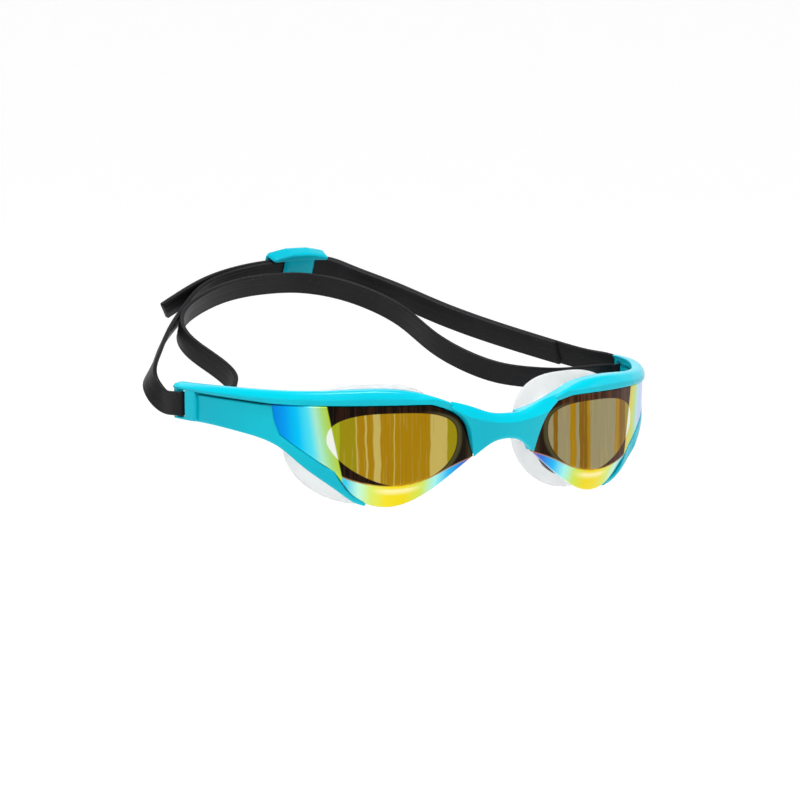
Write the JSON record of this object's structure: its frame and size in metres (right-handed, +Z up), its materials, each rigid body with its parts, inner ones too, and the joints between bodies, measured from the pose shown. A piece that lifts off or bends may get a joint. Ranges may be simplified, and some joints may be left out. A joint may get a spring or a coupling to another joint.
{
  "type": "swim goggles",
  "caption": "Low-profile racing swim goggles with wrapped mirrored lenses, snap-in nose bridge, soft eye seals, a split head strap and a sliding rear buckle.",
  "frame": {"origin": "midway between the eyes, on the plane where the two eye seals rest on the face", "axes": "+X towards the wearer's left temple, +Y back into the head, +Z up"},
  "size_m": [0.1754, 0.1451, 0.0705],
  "materials": {
    "frame_turquoise": "semi-gloss moulded",
    "buckle_turquoise": "semi-gloss moulded",
    "lens_mirror": "iridescent mirror coating",
    "eyecup_dark": "satin dark brown",
    "seal_silicone": "translucent silicone",
    "strap_silicone": "matt black silicone"
  },
  "bodies": {
    "front": {"left_lens": "lens_mirror", "right_lens": "lens_mirror", "left_frame": "frame_turquoise", "right_frame": "frame_turquoise", "left_eyecup": "eyecup_dark", "right_eyecup": "eyecup_dark", "left_seal": "seal_silicone", "right_seal": "seal_silicone", "nose_bridge": "frame_turquoise"},
    "strap": {"strap": "strap_silicone"},
    "buckle": {"buckle": "buckle_turquoise"}
  },
  "joints": [
    {"name": "strap_swing", "type": "hinge", "parent": "front", "child": "strap", "pos_m": [0, 0.03243, 0.0115], "axis": [1, 0, 0], "range_deg": [-15, 15]},
    {"name": "buckle_slide", "type": "hinge", "parent": "strap", "child": "buckle", "pos_m": [0.004, 0.02345, 0.00759], "axis": [0, -0.3987, 0.9171], "range_deg": [0, 20]}
  ]
}
